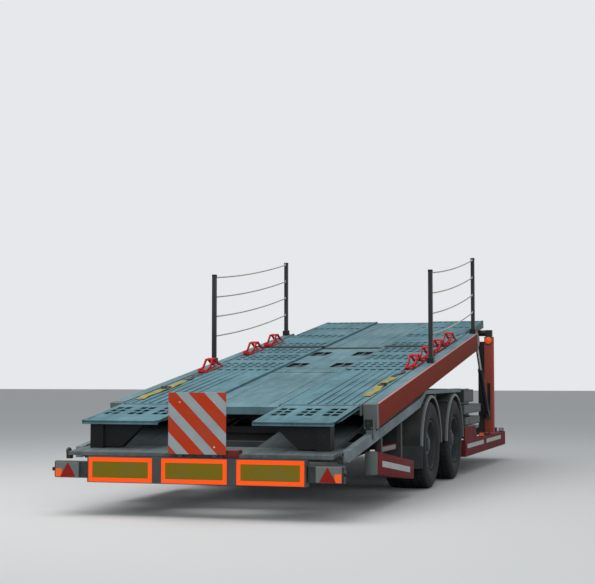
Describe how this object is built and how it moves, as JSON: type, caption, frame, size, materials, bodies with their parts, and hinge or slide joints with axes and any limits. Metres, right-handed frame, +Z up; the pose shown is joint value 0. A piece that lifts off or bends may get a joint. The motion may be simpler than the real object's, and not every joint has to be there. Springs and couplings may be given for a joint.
{
  "type": "car transporter trailer",
  "caption": "Double-deck drawbar trailer for carrying cars, with a lowered sloping upper deck, close tandem axles and a front jack leg.",
  "frame": {"origin": "on the ground under the middle of the trailer and its drawbar", "axes": "-Y towards the towing eye, +Z up, the trailer's right side at -X"},
  "size_m": [2.55, 10.402, 2.6],
  "materials": {
    "amber_lens": "amber lens",
    "black_steel": "black paint",
    "board": "red and white reflective stripes",
    "bright_red": "bright red paint",
    "chrome_rod": "ground rod",
    "dark_steel": "dark grey paint, dusty",
    "forged_steel": "forged steel, worn bright in the bore",
    "galvanised": "weathered zinc, blue grey",
    "grey_steel": "grey paint",
    "guard_plastic": "grey moulded plastic",
    "lamp": "moulded lamp cluster",
    "marker": "reflective sheet, orange border on yellow",
    "red_paint": "orange red paint, satin",
    "rim": "grey painted steel",
    "rope": "pale rope",
    "rubber": "black rubber",
    "strap": "yellow woven strap",
    "tyre": "road worn rubber"
  },
  "bodies": {
    "chassis": {"air_springs": "rubber", "air_tanks": "black_steel", "axles": "black_steel", "column_lamps": "amber_lens", "control_boxes": "grey_steel", "crossmembers": "dark_steel", "deck_rests": "dark_steel", "drawbar": "dark_steel", "frame_beams": "dark_steel", "front_sills": "red_paint", "jack_tube": "dark_steel", "lift_columns": "red_paint", "lift_masts": "black_steel", "lower_rails": "galvanised", "lower_tracks": "galvanised", "marker_plates": "marker", "mudflaps": "rubber", "mudguards": "guard_plastic", "rear_crossbeam": "dark_steel", "rear_platform": "galvanised", "service_panel": "dark_steel", "side_guards": "red_paint", "suspension_arms": "black_steel", "tail_lamps": "lamp", "towing_eye": "forged_steel", "warning_board": "board"},
    "carriage": {"cross_head": "black_steel"},
    "upper_deck": {"side_beams": "red_paint", "deck_beams": "dark_steel", "deck_crossmembers": "dark_steel", "deck_brackets": "grey_steel", "deck_end_boxes": "grey_steel", "deck_tracks": "galvanised", "centre_plates": "galvanised", "safety_posts": "black_steel", "safety_ropes": "rope", "wheel_stops": "bright_red", "tie_straps": "strap"},
    "rear_ramp_right": {"ramp_right": "galvanised"},
    "rear_ramp_left": {"ramp_left": "galvanised"},
    "cylinder_right": {"tilt_cylinder_right": "black_steel"},
    "rod_right": {"tilt_rod_right": "chrome_rod"},
    "cylinder_left": {"tilt_cylinder_left": "black_steel"},
    "rod_left": {"tilt_rod_left": "chrome_rod"},
    "jack": {"jack_leg": "grey_steel"},
    "wheel_rear_right": {"tyres_rear_right": "tyre", "rims_rear_right": "rim"},
    "wheel_rear_left": {"tyres_rear_left": "tyre", "rims_rear_left": "rim"},
    "wheel_front_right": {"tyres_front_right": "tyre", "rims_front_right": "rim"},
    "wheel_front_left": {"tyres_front_left": "tyre", "rims_front_left": "rim"}
  },
  "joints": [
    {"name": "wheel_rear_right_spin", "type": "hinge", "parent": "chassis", "child": "wheel_rear_right", "pos_m": [0, 1.681, 0.445], "axis": [1, 0, 0], "continuous": true},
    {"name": "wheel_rear_left_spin", "type": "hinge", "parent": "chassis", "child": "wheel_rear_left", "pos_m": [0, 1.681, 0.445], "axis": [1, 0, 0], "continuous": true},
    {"name": "wheel_front_right_spin", "type": "hinge", "parent": "chassis", "child": "wheel_front_right", "pos_m": [0, 0.371, 0.445], "axis": [1, 0, 0], "continuous": true},
    {"name": "wheel_front_left_spin", "type": "hinge", "parent": "chassis", "child": "wheel_front_left", "pos_m": [0, 0.371, 0.445], "axis": [1, 0, 0], "continuous": true},
    {"name": "deck_lift", "type": "slide", "parent": "chassis", "child": "carriage", "axis": [0, 0, 1], "range_m": [0, 0.35]},
    {"name": "deck_tilt", "type": "hinge", "parent": "carriage", "child": "upper_deck", "pos_m": [0, -2.399, 1.712], "axis": [1, 0, 0], "range_deg": [0, 9]},
    {"name": "ramp_right_fold", "type": "hinge", "parent": "upper_deck", "child": "rear_ramp_right", "pos_m": [0, 4.12853, 0.88295], "axis": [1, 0, 0], "range_deg": [0, 90]},
    {"name": "ramp_left_fold", "type": "hinge", "parent": "upper_deck", "child": "rear_ramp_left", "pos_m": [0, 4.12853, 0.88295], "axis": [1, 0, 0], "range_deg": [0, 90]},
    {"name": "cylinder_right_swing", "type": "hinge", "parent": "carriage", "child": "cylinder_right", "pos_m": [-1.195, -2.199, 0.64], "axis": [1, 0, 0], "range_deg": [0, 4.32]},
    {"name": "rod_right_slide", "type": "slide", "parent": "cylinder_right", "child": "rod_right", "axis": [0, 0.6699, 0.7425], "range_m": [0, 0.1326]},
    {"name": "cylinder_left_swing", "type": "hinge", "parent": "carriage", "child": "cylinder_left", "pos_m": [1.195, -2.199, 0.64], "axis": [1, 0, 0], "range_deg": [0, 4.32]},
    {"name": "rod_left_slide", "type": "slide", "parent": "cylinder_left", "child": "rod_left", "axis": [0, 0.6699, 0.7425], "range_m": [0, 0.1326]},
    {"name": "jack_leg_slide", "type": "slide", "parent": "chassis", "child": "jack", "axis": [0, 0, 1], "range_m": [0, 0.24]}
  ],
  "couplings": [
    {"joint": "cylinder_right_swing", "follows": "deck_tilt", "ratio": 0.4785},
    {"joint": "rod_right_slide", "follows": "deck_tilt", "m_per_rad": 0.841},
    {"joint": "cylinder_left_swing", "follows": "deck_tilt", "ratio": 0.4785},
    {"joint": "rod_left_slide", "follows": "deck_tilt", "m_per_rad": 0.841}
  ]
}
